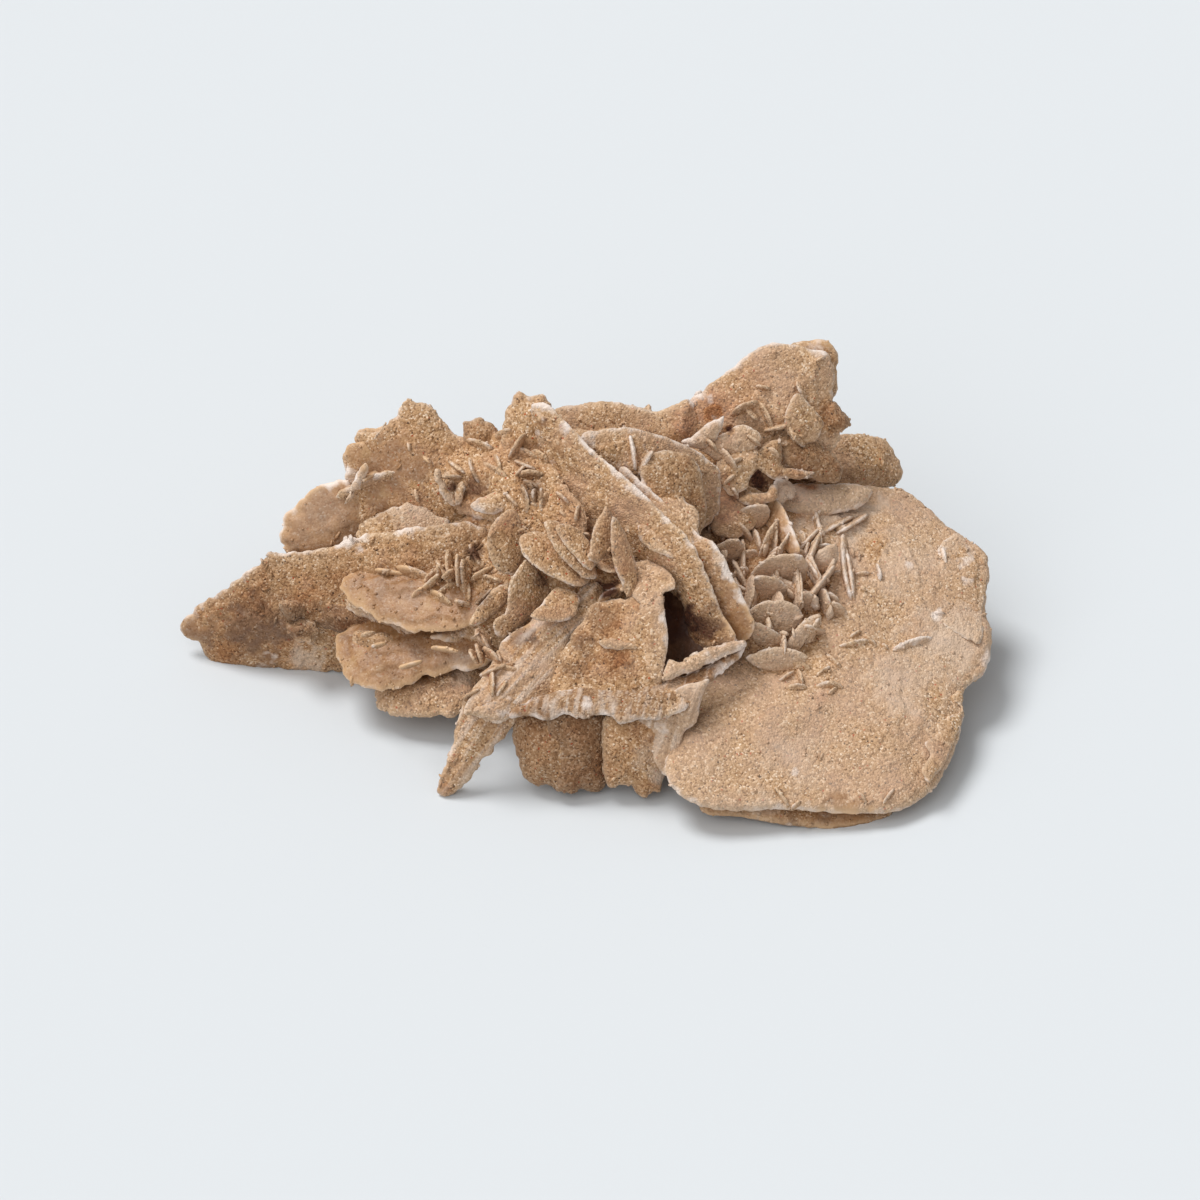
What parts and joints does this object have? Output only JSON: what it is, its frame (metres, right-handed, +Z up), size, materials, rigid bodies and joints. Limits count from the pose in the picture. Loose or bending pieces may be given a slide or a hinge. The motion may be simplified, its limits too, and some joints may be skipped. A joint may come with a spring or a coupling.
{
  "type": "gypsum sand rose",
  "caption": "Natural cluster of lens-shaped gypsum blades filled with sand, with a broad plate on one side and a long wing on the other, lying on a few small flat feet.",
  "frame": {"origin": "middle of the bounding box, at the level of the surface it lies on", "axes": "+X along the length, from the tip of the long wing to the broad plate; -Y to the side that shows the most blades; +Z up"},
  "size_m": [0.1236, 0.0744, 0.0441],
  "materials": {
    "sandy_gypsum": "rough sandy tan gypsum, paler along the rims"
  },
  "bodies": {
    "root": {"sand_rose": "sandy_gypsum"}
  },
  "joints": []
}
